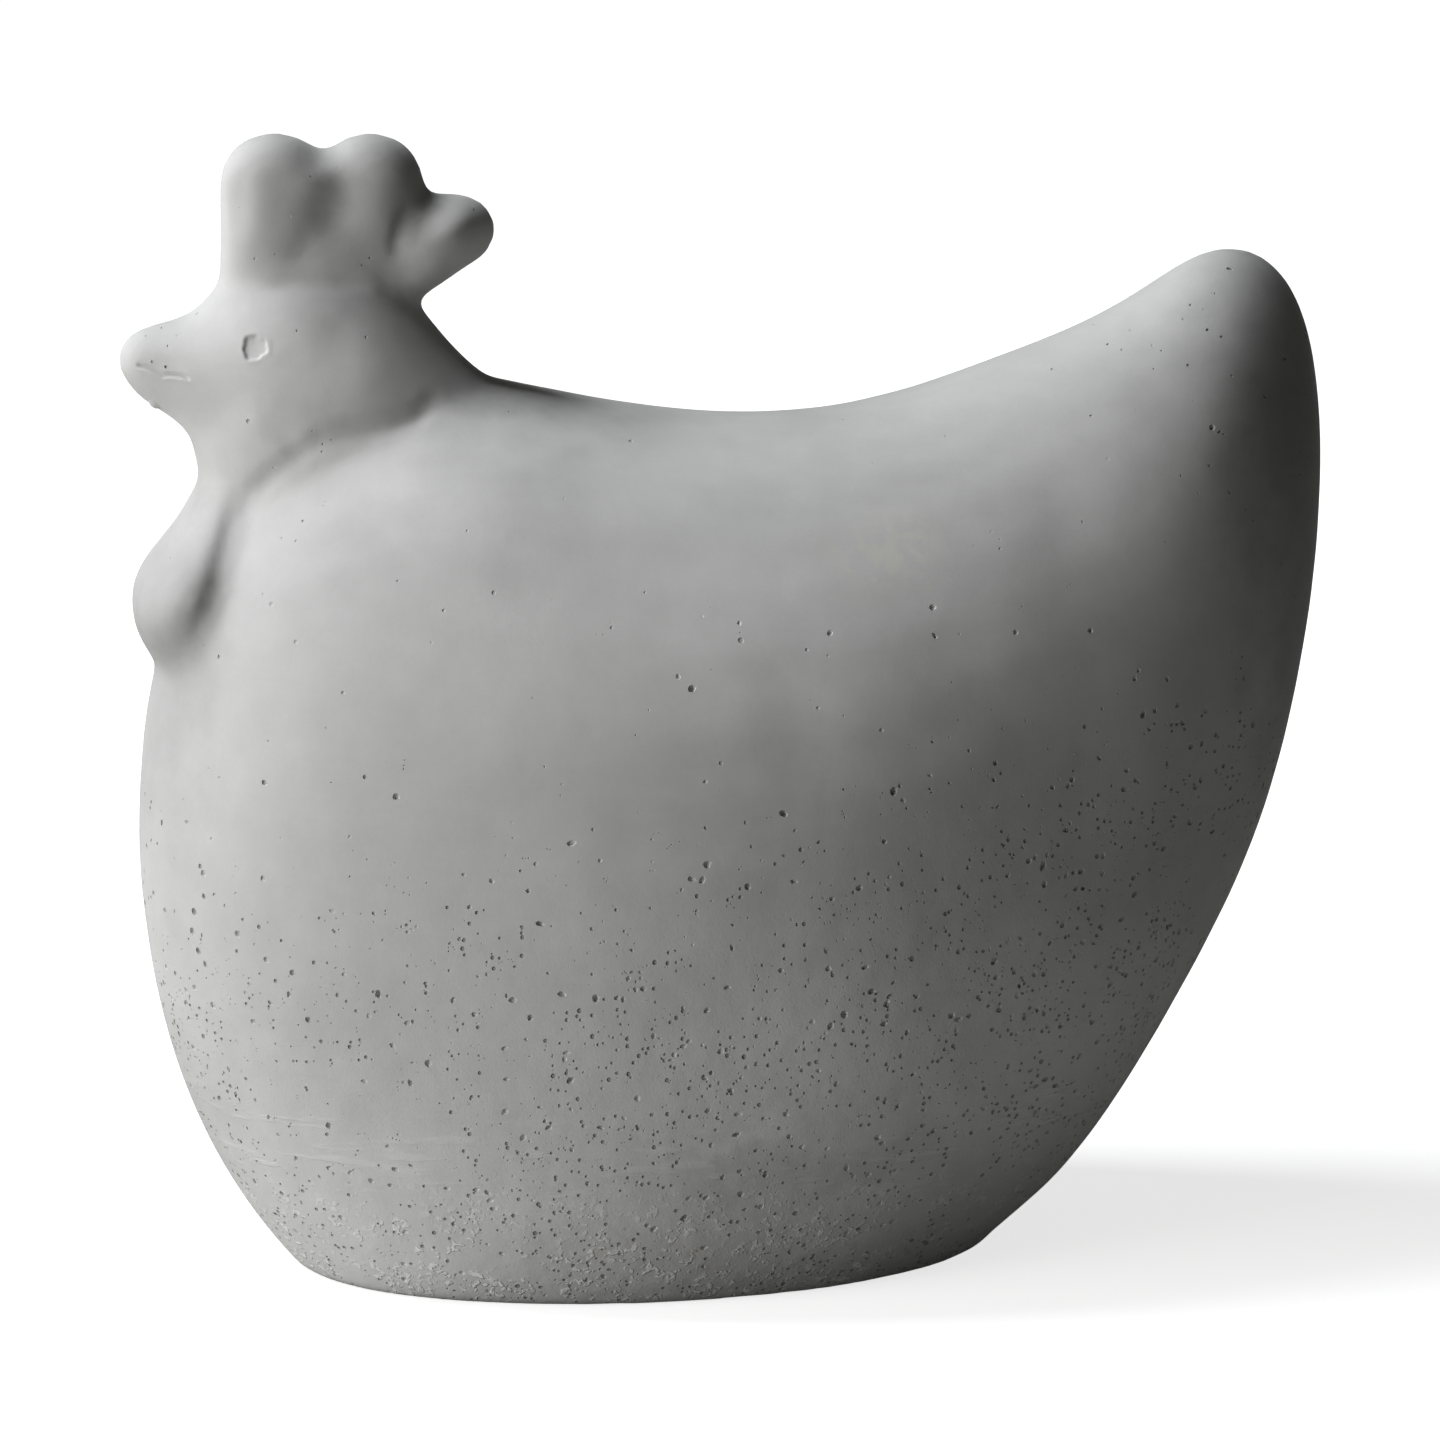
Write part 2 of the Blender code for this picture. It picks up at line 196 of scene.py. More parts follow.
grooves = [
    {"line": [(-62.0, 188.0), (-69.0, 183.7), (-74.2, 182.6), (-82.4, 181.4), (-88.5, 179.8),
              (-92.5, 176.7), (-98.4, 172.3), (-103.3, 166.8), (-104.8, 165.0)],
     "width": 3.4, "depth": 0.75},
    {"line": [(-104.3, 166.7), (-106.2, 164.0), (-108.9, 156.6), (-111.4, 148.6), (-113.7, 143.4),
              (-116.0, 138.7)], "width": 2.8, "depth": 0.5},
    {"line": [(-100.0, 210.9), (-96.1, 210.7), (-89.1, 210.6), (-81.9, 210.2), (-75.0, 209.3)],
     "width": 3.0, "depth": 0.55},
    {"line": [(-67.0, 227.5), (-70.2, 222.5), (-71.6, 217.8), (-70.0, 213.5)], "width": 2.4, "depth": 0.6},
]

lumps = [  # middle, reach along and across, lean from upright in degrees, lift
    {"at": (-83.8, 224.8), "size": (5.6, 3.7), "lean": 28, "lift": -1.15},
    {"at": (-90.5, 216.8), "size": (4.2, 3.0), "lean": 40, "lift": -0.45},
    {"at": (-87.8, 230.5), "size": (3.4, 4.2), "lean": 0, "lift": 0.6},
    {"at": (-73.5, 226.0), "size": (7.0, 4.2), "lean": 5, "lift": 0.5},
    {"at": (-61.8, 219.8), "size": (8.0, 5.2), "lean": 52, "lift": 1.5},
    {"at": (-94.5, 178.7), "size": (2.2, 3.2), "lean": 35, "lift": -0.4},
    {"at": (-101.5, 182.5), "size": (3.4, 3.2), "lean": 0, "lift": 0.4},
    {"at": (-118.0, 194.4), "size": (1.5, 4.2), "lean": 0, "lift": -0.25},
    {"at": (-84.5, 199.5), "size": (6.0, 5.0), "lean": 10, "lift": -0.4},
    {"at": (-78.5, 192.5), "size": (4.5, 5.5), "lean": 0, "lift": 0.3},
    {"at": (-62.5, 176.0), "size": (6.5, 9.0), "lean": 25, "lift": -0.35},
    {"at": (36.0, 138.0), "size": (9.0, 14.0), "lean": 60, "lift": -0.5},
    {"at": (2.0, 128.0), "size": (7.0, 16.0), "lean": 80, "lift": -0.35},
    {"at": (62.0, 163.0), "size": (8.0, 8.0), "lean": 30, "lift": -0.45},
    {"at": (-30.0, 98.0), "size": (8.0, 13.0), "lean": 75, "lift": -0.3},
]

swells = [  # middle, reach and lift, for small corrections of the outline
    {"at": (-125.5, 0, 194.0), "reach": 6.0, "lift": 0.9},
    {"at": (-72.2, 0, 239.3), "reach": 7.0, "lift": -0.55},
    {"at": (-54.0, 0, 211.5), "reach": 6.0, "lift": -0.6},
    {"at": (106.0, 0, 213.5), "reach": 13.0, "lift": 0.6},
    {"at": (-122.8, 0, 127.0), "reach": 12.0, "lift": 0.6},
    {"at": (-88.0, -22, 1.0), "reach": 13.0, "lift": -0.9},
    {"at": (-88.0, 22, 1.0), "reach": 13.0, "lift": -0.9},
    {"at": (56.0, -12, 2.0), "reach": 13.0, "lift": -0.7},
]

nub = {"at": (-119.8, -2.4, 186.4), "radius": 1.15 * mm, "lift": 0.65 * mm}  # a drop left under the beak


def slantComb(points):  # the front of the comb slants from its edge to its flanks
    corner = np.interp(points[:, 2], comb["cornerHeights"], comb["corners"])
    limit = comb["halfWidth"] - comb["slant"] * (corner - points[:, 0])
    over = np.abs(points[:, 1]) - limit
    soft = comb["round"]
    cut = np.where(over > soft, over, (over + soft).clip(0) ** 2 / (4 * soft))
    cut *= ease(comb["from"], comb["to"], points[:, 2]) * (points[:, 0] < corner + soft)
    cut = np.minimum(cut, np.abs(points[:, 1]) * 0.6)
    points[:, 1] -= np.sign(points[:, 1]) * cut


def pressGroove(points, normals, tree, groove, side):
    line = np.array([skinAt(tree, x * mm, z * mm, side)[0] for x, z in groove["line"]])
    width, depth = groove["width"] * mm, groove["depth"] * mm
    share = 1 - ease(0, width, distanceTo(points, line))
    for end in (line[0], line[-1]):  # it runs out softly
        share *= ease(0, width * 2.5, np.linalg.norm(points - end, axis=1))
    points -= normals * (share * depth)[:, None]


def liftLump(points, normals, lump, side):
    lean = math.radians(lump["lean"])
    x = points[:, 0] - lump["at"][0] * mm
    z = points[:, 2] - lump["at"][1] * mm
    along = (z * math.cos(lean) + x * math.sin(lean)) / (lump["size"][0] * mm)
    across = (x * math.cos(lean) - z * math.sin(lean)) / (lump["size"][1] * mm)
    share = np.exp(-along ** 2 - across ** 2) * np.abs(normals[:, 1]) * (points[:, 1] * side > 0)
    points[:, 1] += side * share * lump["lift"] * mm


def swell(points, normals, spot):
    away = np.linalg.norm(points - np.array(spot["at"]) * mm, axis=1)
    lift = np.exp(-(away / (spot["reach"] * mm)) ** 2) * spot["lift"] * mm
    step = normals * lift[:, None]
    step[:, 2] *= ease(0.5 * mm, 4 * mm, points[:, 2])  # the foot stays flat
    points += step


def sculpt(bm):
    tree = BVHTree.FromBMesh(bm)
    points, normals = pointsOf(bm), normalsOf(bm)
    slantComb(points)
    for side in (-1, 1):
        for groove in grooves:
            pressGroove(points, normals, tree, groove, side)
        for lump in lumps:
            liftLump(points, normals, lump, side)
    for spot in swells:
        swell(points, normals, spot)
    moveTo(bm, points)


def addNub(bm):
    place, normal, _, _ = BVHTree.FromBMesh(bm).find_nearest(Vector(nub["at"]) * mm)
    refine(bm, [place, place + normal * 0.01 * mm], nub["radius"] * 2.5, 2)
    for vert in bm.verts:
        share = math.exp(-((vert.co - place).length / nub["radius"]) ** 4)
        vert.co += normal * nub["lift"] * share


# pressed eyes and scratched mouth, on both sides of the head

eyes = {
    "x": -100.9 * mm,
    "z": 198.2 * mm,
    "radius": 2.4 * mm,
    "edge": 0.55 * mm,
    "depth": 0.38 * mm,
    "lip": 0.1 * mm,
    "wobble": 0.085,
}

mouth = {
    "line": [(-123.9, 193.8), (-122.2, 193.4), (-120.6, 192.8), (-119.1, 192.0), (-117.6, 192.2),
             (-115.2, 192.0), (-114.1, 191.5)],
    "width": 0.8 * mm,
    "depth": 0.42 * mm,
    "lip": 0.13 * mm,
}


def skinAt(tree, x, z, side):  # side -1 is the near flank
    place, normal, _, _ = tree.ray_cast(Vector((x, side * 0.2, z)), Vector((0, -side, 0)))
    return place, normal


def refine(bm, path, radius, cuts):  # smaller faces near the path
    path = np.array(path, float)
    middles = np.array([face.calc_center_median() for face in bm.faces])
    near = distanceTo(middles, path) < radius
    bm.faces.ensure_lookup_table()
    edges = {edge for i in np.nonzero(near)[0] for edge in bm.faces[i].edges}
    bmesh.ops.subdivide_edges(bm, edges=list(edges), cuts=cuts, use_grid_fill=True)


def pressEye(bm, side):
    place, normal = skinAt(BVHTree.FromBMesh(bm), eyes["x"], eyes["z"], side)
    radius, edge = eyes["radius"], eyes["edge"]
    refine(bm, [place, place + normal * 0.01 * mm], radius * 1.7, 3)
    across = normal.orthogonal().normalized()
    up = normal.cross(across)
    for vert in bm.verts:
        offset = vert.co - place
        if offset.length > radius * 1.7:
            continue
        away = offset - normal * offset.dot(normal)
        turn = math.atan2(away.dot(up), away.dot(across))
        rim = radius * (1 + eyes["wobble"] * (math.sin(3 * turn + 0.8) + 0.6 * math.sin(7 * turn)))
        pressed = 1 - float(ease(rim - edge / 2, rim + edge / 2, away.length))
        lip = math.exp(-((away.length - rim - edge) / edge) ** 2)
        vert.co -= normal * (eyes["depth"] * pressed - eyes["lip"] * lip)


def scratchMouth(bm, side):
    tree = BVHTree.FromBMesh(bm)
    places = [skinAt(tree, x * mm, z * mm, side) for x, z in mouth["line"]]
    path = np.array([place for place, normal in places])
    inward = -sum((normal for place, normal in places), Vector()).normalized()
    refine(bm, path, mouth["width"] * 3, 3)
    points = pointsOf(bm)
    away = distanceTo(points, path)
    width = mouth["width"]
    heights = np.interp(points[:, 0], path[:, 0], path[:, 2])
    taper = ease(0, width * 1.6, points[:, 0] - path[0, 0] + width)
    taper *= 1 - ease(-width, width, points[:, 0] - path[-1, 0])
    groove = (1 - ease(0, width, away)) * mouth["depth"] * taper
    below = points[:, 2] - heights
    lip = np.exp(-((below + width * 0.9) / (width * 0.5)) ** 2) * mouth["lip"] * taper * (away < width * 3)
    moveTo(bm, points + np.outer(groove - lip, np.array(inward)))


# air bubbles left open at the surface, few at the top and crowded near the foot

bubbles = {
    "seed": 11,
    "count": 4050,
    "smallest": 0.25 * mm,
    "largest": 0.9 * mm,
    "rarity": 3.2,  # how quickly the larger ones grow rare
    "chained": 0.34,  # how many have another one close by
    "apart": 1.08,
    "balls": [  # the larger the bubble, the more sides
        {"upTo": 0.38 * mm, "sides": 5, "rings": 2},
        {"upTo": 0.55 * mm, "sides": 6, "rings": 3},
        {"upTo": 9 * mm, "sides": 8, "rings": 5},
    ],
    "rough": 0.15,
    "top": (110 * mm, 140 * mm),  # where they thin out, at the breast and at the tail
    "topFrom": (-70 * mm, 70 * mm),
    "band": 42 * mm,  # from the first ones down to where they crowd
    "footShare": 0.45,
    "footBand": (12 * mm, 40 * mm),
    "calm": 0.7,  # how many are missing low on the breast
    "calmAt": (-88 * mm, 36 * mm),
    "calmSize": (26 * mm, 20 * mm),
    "few": 0.02,  # shares above the crowd: on the upper body, just over the crowd and on the tail
    "haze": 0.06,
    "tail": 0.07,
    "cluster": 15 * mm,
    "near": [  # the ones that stand out on the near side: x, z and radius in mm
        (54.3, 93.8, 1.0), (56.6, 95.6, 0.5), (104.4, 208.8, 0.62), (94.7, 202.1, 0.4),
        (97.0, 197.6, 0.45), (99.7, 196.3, 0.4), (91.8, 191.0, 0.42), (87.1, 193.6, 0.34),
        (82.3, 196.9, 0.3), (77.3, 194.2, 0.42), (79.5, 193.4, 0.32), (84.8, 190.2, 0.3),
        (92.6, 199.5, 0.34), (100.9, 188.7, 0.36), (108.2, 184.0, 0.4), (70.5, 181.5, 0.36),
        (65.8, 161.7, 0.32), (87.7, 169.9, 0.34), (-118.8, 201.1, 0.32), (-117.9, 197.9, 0.32),
        (-121.2, 194.7, 0.34), (-118.5, 193.8, 0.42), (-122.1, 199.6, 0.28), (-92.4, 201.6, 0.3),
        (-87.9, 178.9, 0.3), (-88.1, 177.4, 0.34), (-86.1, 179.7, 0.26), (-100.0, 215.5, 0.34),
        (-96.0, 216.5, 0.24), (-76.6, 215.3, 0.34), (-78.3, 213.9, 0.26), (-88.4, 232.1, 0.24),
        (-54.6, 224.2, 0.4),
    ],
}


def crowding(points):  # how crowded the bubbles are at each point
    across, height = points[:, 0], points[:, 2]
    top = np.interp(across, bubbles["topFrom"], bubbles["top"])
    low = ease(top, top - bubbles["band"], height)
    low *= bubbles["footShare"] + (1 - bubbles["footShare"]) * ease(*bubbles["footBand"], height)
    thin = bubbles["few"] * ease(178 * mm, 150 * mm, height)
    thin += bubbles["haze"] * ease(top + 30 * mm, top - 10 * mm, height)
    tail = bubbles["tail"] * ease(78 * mm, 100 * mm, across) * ease(110 * mm, 150 * mm, height)
    along = (across - bubbles["calmAt"][0]) / bubbles["calmSize"][0]
    up = (height - bubbles["calmAt"][1]) / bubbles["calmSize"][1]
    low *= 1 - bubbles["calm"] * np.exp(-along ** 2 - up ** 2)
    patches = np.array([noise.noise(Vector(point / bubbles["cluster"])) for point in points])
    return (low * (0.7 + 1.2 * patches).clip(0.12) + thin + tail) * ease(0.2 * mm, 1.5 * mm, height)


def placeBubbles(bm, tree):  # middle, radius and outward direction of each
    rng = np.random.default_rng(bubbles["seed"])
    faces = list(bm.faces)
    middles = np.array([face.calc_center_median() for face in faces])
    chance = np.array([face.calc_area() for face in faces]) * crowding(middles)
    chosen = rng.choice(len(faces), bubbles["count"] * 2, p=chance / chance.sum())
    span = bubbles["largest"] - bubbles["smallest"]
    skins, radii, placed = np.zeros((bubbles["count"], 3)), np.zeros(bubbles["count"]), []

    def put(place, radius):
        count = len(placed)
        if count == bubbles["count"]:
            return
        skin, normal, _, _ = tree.find_nearest(place)
        gaps = np.linalg.norm(skins[:count] - np.array(skin), axis=1)
        if skin.z > radius * 1.5 and (gaps > (radii[:count] + radius) * bubbles["apart"]).all():
            skins[count], radii[count] = skin, radius
            placed.append((skin, radius, normal))

    for x, z, radius in bubbles["near"]:
        put(skinAt(tree, x * mm, z * mm, -1)[0], radius * mm)
    for i in chosen:
        place = Vector(middles[i]) + Vector(rng.uniform(-0.5, 0.5, 3)) * mm
        radius = bubbles["smallest"] + span * rng.random() ** bubbles["rarity"]
        put(place, radius)
        way = Vector(rng.normal(size=3)).normalized()
        while rng.random() < bubbles["chained"]:
            place = place + way * radius * rng.uniform(1.9, 2.6)
            radius *= rng.uniform(0.6, 1.0)
            put(place, max(radius, bubbles["smallest"]))
    return placed


def bubbleBall(sides, rings):
    bm = bmesh.new()
    bmesh.ops.create_uvsphere(bm, u_segments=sides, v_segments=rings, radius=1)
    ball = bpy.data.meshes.new("ball")
    bm.to_mesh(ball)
    points = pointsOf(bm)
    bm.free()
    return ball, points


def bubbleCutter(placed):
    rng = np.random.default_rng(bubbles["seed"] + 1)
    bm = bmesh.new()
    balls = [(kind["upTo"], *bubbleBall(kind["sides"], kind["rings"])) for kind in bubbles["balls"]]
    for number, (skin, radius, normal) in enumerate(placed):
        ball, points = next((ball, points) for upTo, ball, points in balls if radius < upTo)
        turn = Vector((0, 0, 1)).rotation_difference(normal).to_matrix()
        spin = Matrix.Rotation(rng.uniform(0, math.tau), 3, "Z")
        long = rng.uniform(0.85, 1.35)
        shape = Matrix.Diagonal((long, 1 / long, rng.uniform(0.75, 1.1)))
        rise = rng.uniform(0.0, 0.45) * (number >= len(bubbles["near"]))
        middle = skin + normal * radius * rise
        points = points @ np.array(turn @ spin @ shape).T
        points += rng.uniform(-1, 1, points.shape) * bubbles["rough"]
        ball.vertices.foreach_set("co", (points * radius + np.array(middle)).ravel())
        bm.from_mesh(ball)
    for upTo, ball, points in balls:
        bpy.data.meshes.remove(ball)
    return newObject("bubbleCutter", bm)


def cutBubbles(piece, cutter):
    cut = piece.modifiers.new("bubbles", "BOOLEAN")
    cut.operation = "DIFFERENCE"
    cut.solver = "MANIFOLD"
    cut.object = cutter
    applied(piece)
    bpy.data.objects.remove(cutter)


def facetBubbles(piece, skin):  # only the skin is shaded smooth, as if it were whole
    piece.data.set_sharp_from_angle(angle=math.radians(42))
    smooth = [skin.find_nearest(face.center)[3] < 0.002 * mm for face in piece.data.polygons]
    piece.data.polygons.foreach_set("use_smooth", smooth)


def thinOut(piece):
    total = sum(len(face.vertices) - 2 for face in piece.data.polygons)
    thin = piece.modifiers.new("thin", "DECIMATE")
    thin.ratio = casting["triangles"] / total
    return applied(piece)


def makeCasting():
    piece = remeshed()
    print("remeshed:", len(piece.data.polygons), "faces")
    bm = bmesh.new()
    bm.from_mesh(piece.data)
    smoothSkin(bm)
    sculpt(bm)
    addWaves(bm)
    addNub(bm)
    print("smoothed and sculpted")
    for side in (-1, 1):
        pressEye(bm, side)
        scratchMouth(bm, side)
    bm.to_mesh(piece.data)
    bm.free()
    thinOut(piece)
    print("face marked, thinned to", len(piece.data.polygons), "faces")
    bm = bmesh.new()
    bm.from_mesh(piece.data)
    bmesh.ops.triangulate(bm, faces=bm.faces)
    bm.to_mesh(piece.data)
    bm.normal_update()
    skin = BVHTree.FromBMesh(bm)
    placed = placeBubbles(bm, skin)
    cutter = bubbleCutter(placed)
    bm.free()
    cutBubbles(piece, cutter)
    facetBubbles(piece, skin)
    print("bubbles cut:", len(placed), "in", len(piece.data.polygons), "faces")
    return piece


# concrete

class Wire:  # a socket, on which sums are written as they are said
    def __init__(self, tree, socket=None):
        self.tree = tree
        self.socket = socket

    def node(self, kind, settings=None, inputs=None, output=0):
        made = self.tree.nodes.new("ShaderNode" + kind)
        for name, value in (settings or {}).items():
            setattr(made, name, value)
        for name, value in (inputs or {}).items():
            if isinstance(value, Wire):
                self.tree.links.new(value.socket, made.inputs[name])
            else:
                made.inputs[name].default_value = value
        return Wire(self.tree, made.outputs[output])

    def maths(self, operation, *values):
        return self.node("Math", {"operation": operation}, dict(enumerate(values)))

    def __add__(self, other):
        return self.maths("ADD", self, other)

    __radd__ = __add__

    def __sub__(self, other):
        return self.maths("SUBTRACT", self, other)

    def __rsub__(self, other):
        return self.maths("SUBTRACT", other, self)

    def __mul__(self, other):
        return self.maths("MULTIPLY", self, other)

    __rmul__ = __mul__

    def ease(self, start, end):
        limits = {"Value": self, "From Min": start, "From Max": end}
        return self.node("MapRange", {"interpolation_type": "SMOOTHSTEP"}, limits)

    def most(self, other):
        return self.maths("MAXIMUM", self, other)


concrete = {
    "colour": (0.503, 0.503, 0.496),
    "bloom": (0.6, 0.585, 0.52),  # lime come to the surface
    "rust": (0.4, 0.33, 0.26),
    "tones": {  # how much lighter or darker each kind of mark makes the skin; rim is painted shade along the foot's lower edge, and holes is painted shade inside the tiny pits
        "cloud": 0.28, "mottle": 0.14, "speck": 0.05, "streak": 0.06,
        "crumbs": 0.38, "scrape": 0.08, "foot": 0.05, "rim": -0.22, "holes": -0.48,
    },
    "relief": {  # height of each kind in mm, on the smooth upper skin, low down and at the foot
        "grit": (0.02, 0.05, 0), "ripple": (0.03, 0.05, 0.1), "dimple": (0, 0.2, 0),
        "crumbs": 0.24, "scrape": 0.1, "holes": -0.46,
    },
    "roughness": 0.92,
    "roughCloud": 0.06,
    "specular": 0.08,
    "patches": [  # painted light and shade where the lamps light the hen differently, with a few real darker or lighter patches low on the flank: middle and reach in mm, and how much lighter
        {"at": (5, -58, 31), "size": (36, 45, 10), "lift": -0.13},
        {"at": (-9, -60, 41), "size": (12, 30, 2.6), "lift": 0.09},
        {"at": (-28, -52, 152), "size": (54, 60, 36), "lift": 0.2},
        {"at": (-25, -30, 178), "size": (42, 46, 17), "lift": 0.25},
        {"at": (-44, -10, 181), "size": (22, 34, 8), "lift": 0.3},
        {"at": (-68, -40, 171), "size": (18, 40, 13), "lift": 0.15},
        {"at": (-84, -36, 24), "size": (42, 44, 36), "lift": 0.2},
        {"at": (76, -40, 44), "size": (40, 52, 40), "lift": 0.28},
        {"at": (-122, -8, 130), "size": (18, 34, 56), "lift": -0.22},
        {"at": (20, -62, 102), "size": (56, 60, 36), "lift": -0.19},
        {"at": (87, -34, 184), "size": (17, 30, 26), "lift": -0.15},
        {"at": (110, -24, 194), "size": (19, 34, 38), "lift": -0.3},
        {"at": (124, -30, 140), "size": (28, 44, 66), "lift": -0.4},
        {"at": (-105, -8, 186), "size": (24, 30, 20), "lift": 0.16},
        {"at": (-82, -18, 196), "size": (17, 24, 12), "lift": 0.15},
        {"at": (42, -52, 62), "size": (20, 40, 56), "lift": 0.15},
        {"at": (-74, -8, 223), "size": (15, 22, 17), "lift": -0.32},
        {"at": (40, 62, 120), "size": (50, 40, 36), "lift": -0.08},
        {"at": (-40, 58, 48), "size": (40, 40, 20), "lift": 0.07},
    ],
    "bloomAt": (22.7, -44.2, 155.9),
    "bloomSize": (13, 16, 8),
    "bloomShare": 0.45,
    "rustAt": (-20, -52, 14),
    "rustSize": (44, 30, 9),
    "rustShare": 0.22,
    "calmAt": (-88, -36, 36),
    "calmSize": (34, 50, 26),
    "drift": 22 * mm,  # how ragged the edges of the patches are
}


def concreteMaterial(name):
    material = bpy.data.materials.new(name)
    material.use_nodes = True
    tree = material.node_tree
    shader = tree.nodes["Principled BSDF"]
    wire = Wire(tree)
    place = wire.node("TexCoord", output=3)  # Object
    parts = wire.node("SeparateXYZ", inputs={0: place})
    across = Wire(tree, parts.socket.node.outputs[0])
    height = Wire(tree, parts.socket.node.outputs[2])

    def vector(operation, *values, output=0):
        return wire.node("VectorMath", {"operation": operation}, dict(enumerate(values)), output)

    def grain(size, detail=2.0, rough=0.5, stretch=(1, 1, 1), output=0):
        scaled = wire.node("Mapping", {"vector_type": "POINT"}, {"Vector": place, "Scale": stretch})
        settings = {"Vector": scaled, "Scale": 1 / size, "Detail": detail, "Roughness": rough}
        return wire.node("TexNoise", inputs=settings, output=output)

    drift = vector("SUBTRACT", grain(14 * mm, 3.0, output=1), (0.5, 0.5, 0.5))
    ragged = vector("ADD", place, vector("MULTIPLY", drift, (concrete["drift"],) * 3))

    def patch(at, size):  # 1 in the middle, 0 at its ragged edge
        offset = vector("SUBTRACT", ragged, tuple(value * mm for value in at))
        away = vector("LENGTH", vector("DIVIDE", offset, tuple(value * mm for value in size)), output=1)
        return away.ease(1.25, 0.15)

    def pricks(size, share, widest):  # tiny open bubbles of one size
        settings = {"voronoi_dimensions": "3D", "feature": "F1"}
        near = wire.node("TexVoronoi", settings, {"Vector": place, "Scale": 1 / size, "Randomness": 1.0})
        split = wire.node("SeparateColor", inputs={0: Wire(tree, near.socket.node.outputs["Color"])})
        there = (share - split).ease(0.0, 0.02)
        wide = Wire(tree, split.socket.node.outputs[1]) * (widest * 0.65) + widest * 0.35
        return (wide - near).ease(0.0, widest * 0.5) * there

    low = (height - across * 0.2).ease(122 * mm, 58 * mm)
    foot = height.ease(36 * mm, 5 * mm)
    # painted shade along the foot's lower edge, where the surface turns under
    rim = height.ease(2.4 * mm, 0.5 * mm)
    cloud = grain(36 * mm, 3.0) - 0.5
    mottle = grain(8 * mm, 3.0) - 0.5
    speck = grain(0.9 * mm, 1.0) - 0.5
    streak = (grain(26 * mm, 4.0, 0.62, (1, 1, 12)) - 0.5) * grain(30 * mm).ease(0.42, 0.6)
    band = height.ease(20 * mm, 30 * mm) * height.ease(50 * mm, 38 * mm)
    scrape = grain(5 * mm, 3.0, 0.6, (0.22, 0.22, 1.7)).ease(0.54, 0.68) * band
    fleck = grain(1.5 * mm, 2.0).ease(0.52, 0.62)
    crust = grain(7 * mm, 3.0).ease(0.42, 0.6) * foot
    crumbs = crust * fleck

    calm = patch(concrete["calmAt"], concrete["calmSize"]) * bubbles["calm"]
    crowd = low * grain(bubbles["cluster"]).ease(0.34, 0.6) * (1 - calm)
    fine = pricks(1.45 * mm, crowd * 0.75 + 0.012, 0.36)
    bold = pricks(2.5 * mm, crowd * 0.6 + 0.012, 0.27)
    holes = fine.most(bold)

    tones = concrete["tones"]
    tone = 1 + cloud * tones["cloud"] + mottle * tones["mottle"] + speck * tones["speck"]
    # painted light and shade, with a few real patches of tone low on the flank
    for spot in concrete["patches"]:
        tone = tone + patch(spot["at"], spot["size"]) * spot["lift"]
    tone = tone + streak * tones["streak"] + crumbs * tones["crumbs"] + scrape * tones["scrape"]
    tone = tone + foot * tones["foot"] + rim * tones["rim"]
    # painted shade inside the tiny pits, which have only bumps and no real hollow
    tone = tone * (1 + holes * tones["holes"])
    colour = wire.node("VectorMath", {"operation": "SCALE"}, {0: concrete["colour"], "Scale": tone})

    def tinted(under, over, share):
        return wire.node("Mix", {"data_type": "RGBA"}, {0: share, 6: under, 7: (*over, 1)}, 2)

    limy = patch(concrete["bloomAt"], concrete["bloomSize"]) * grain(3 * mm, 2.0).ease(0.4, 0.62)
    colour = tinted(colour, concrete["bloom"], limy * concrete["bloomShare"])
    rusty = patch(concrete["rustAt"], concrete["rustSize"]) * grain(4 * mm, 2.0).ease(0.5, 0.7)
    colour = tinted(colour, concrete["rust"], rusty * concrete["rustShare"])

    grit = grain(0.5 * mm, 2.0, 0.6) - 0.5
    ripple = grain(3.2 * mm, 3.0) - 0.5
    dimple = grain(6.5 * mm, 1.0) - 0.5
    heights = concrete["relief"]

    def raised(mark, name):
        upper, lower, atFoot = heights[name]
        return mark * (upper + lower * low + atFoot * foot)

    relief = raised(grit, "grit") + raised(ripple, "ripple") + raised(dimple, "dimple")
    relief = relief + crumbs * heights["crumbs"] + scrape * heights["scrape"] + holes * heights["holes"]
    bump = wire.node("Bump", inputs={"Height": relief, "Distance": mm, "Strength": 1.0})
    rough = concrete["roughness"] + cloud * concrete["roughCloud"]
    tree.links.new(colour.socket, shader.inputs["Base Color"])
    tree.links.new(rough.socket, shader.inputs["Roughness"])
    tree.links.new(bump.socket, shader.inputs["Normal"])
    shader.inputs["Specular IOR Level"].default_value = concrete["specular"]
    return material


hen = makeCasting()
hen.data.materials.clear()
hen.data.materials.append(concreteMaterial("castConcrete"))
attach(hen, "root")
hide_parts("hen")
print("concrete laid on")


# studio: pale floor, a low soft window to the left of the camera, a skylight high in front of the beak

studio = {
    "floorHalf": 9.0,
    "floorColour": (0.41, 0.41, 0.393),  # what the floor throws back at the hen
    "floorSeen": (0.8, 0.8, 0.8),  # what the camera sees of it, with the glow below
    "nearGlow": 0.76,
    "glowFrom": 0.25,
    "glowTo": 0.9,
    "worldColour": (1.0, 1.0, 0.9),
    "worldStrength": 0.012,
    "middle": (0, 0, 0.118),
    "lamps": [
        {"name": "window", "azimuth": -70, "elevation": 8, "distance": 1.5, "width": 0.9, "height": 0.5,
         "power": 15.8, "colour": (1.0, 1.0, 1.0)},
        {"name": "skylight", "azimuth": -100, "elevation": 55, "distance": 1.5, "width": 0.7, "height": 0.7,
         "power": 20.5, "colour": (0.985, 1.0, 1.02)},
    ],
}


def seenRays(wire):  # 1 for camera, mirror and glass rays
    path = wire.node("LightPath")
    outputs = path.socket.node.outputs
    for name in ("Is Glossy Ray", "Is Transmission Ray"):
        path = path.most(Wire(wire.tree, outputs[name]))
    return path


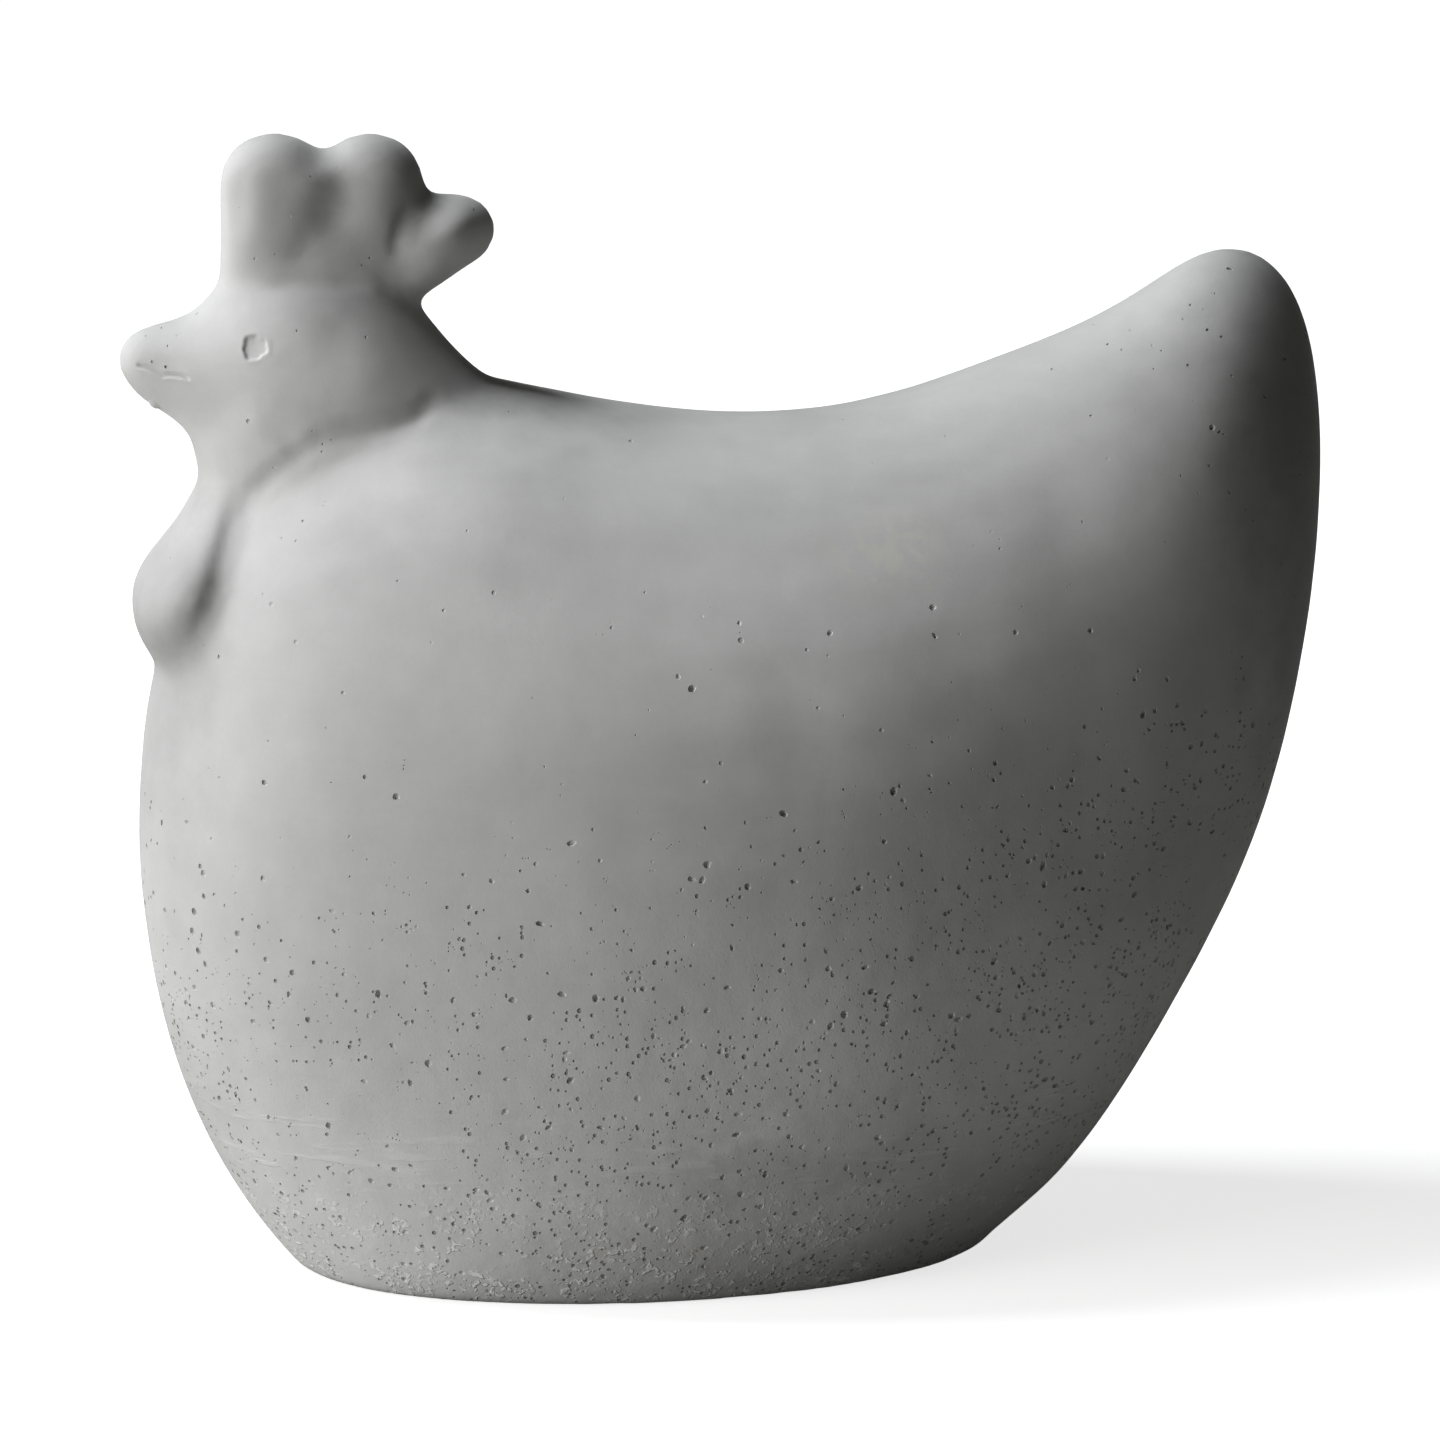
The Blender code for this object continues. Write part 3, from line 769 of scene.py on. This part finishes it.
def layFloor():
    bm = bmesh.new()
    bmesh.ops.create_grid(bm, x_segments=1, y_segments=1, size=studio["floorHalf"])
    floor = newObject("floor", bm)
    material = bpy.data.materials.new("paleFloor")
    material.use_nodes = True
    tree = material.node_tree
    tree.nodes.clear()
    wire = Wire(tree)
    lit = wire.node("BsdfDiffuse", inputs={"Color": (*studio["floorColour"], 1)})
    shadowed = wire.node("BsdfDiffuse", inputs={"Color": (*studio["floorSeen"], 1)})
    place = wire.node("TexCoord", output=3)
    away = wire.node("VectorMath", {"operation": "LENGTH"}, {0: place}, output=1)
    glow = away.ease(studio["glowFrom"], studio["glowTo"]) * (1 - studio["nearGlow"]) + studio["nearGlow"]
    shine = wire.node("Emission", inputs={"Color": glow, "Strength": 1.0})
    white = wire.node("AddShader", inputs={0: shadowed, 1: shine})
    shown = wire.node("MixShader", inputs={0: seenRays(wire), 1: lit, 2: white})
    end = tree.nodes.new("ShaderNodeOutputMaterial")
    tree.links.new(shown.socket, end.inputs["Surface"])
    floor.data.materials.append(material)


def hangLamps():
    middle = Vector(studio["middle"])
    for lamp in studio["lamps"]:
        data = bpy.data.lights.new(lamp["name"], "AREA")
        data.shape = "RECTANGLE"
        data.size = lamp["width"]
        data.size_y = lamp["height"]
        data.energy = lamp["power"]
        data.color = lamp["colour"]
        thing = bpy.data.objects.new(lamp["name"], data)
        thing.visible_camera = False
        bpy.context.scene.collection.objects.link(thing)
        towards = direction(lamp["azimuth"], lamp["elevation"])
        thing.location = middle + towards * lamp["distance"]
        thing.rotation_euler = towards.to_track_quat("Z", "Y").to_euler()


def lightWorld():
    world = bpy.data.worlds.new("studio")
    bpy.context.scene.world = world
    world.use_nodes = True
    tree = world.node_tree
    tree.nodes.clear()
    wire = Wire(tree)
    glow = {"Color": (*studio["worldColour"], 1), "Strength": studio["worldStrength"]}
    lit = wire.node("Background", inputs=glow)
    white = wire.node("Background", inputs={"Color": (1, 1, 1, 1), "Strength": 1.0})
    shown = wire.node("MixShader", inputs={0: seenRays(wire), 1: lit, 2: white})
    end = tree.nodes.new("ShaderNodeOutputWorld")
    tree.links.new(shown.socket, end.inputs["Surface"])


layFloor()
hangLamps()
lightWorld()
bpy.context.scene.view_settings.view_transform = "Standard"
print("studio ready")
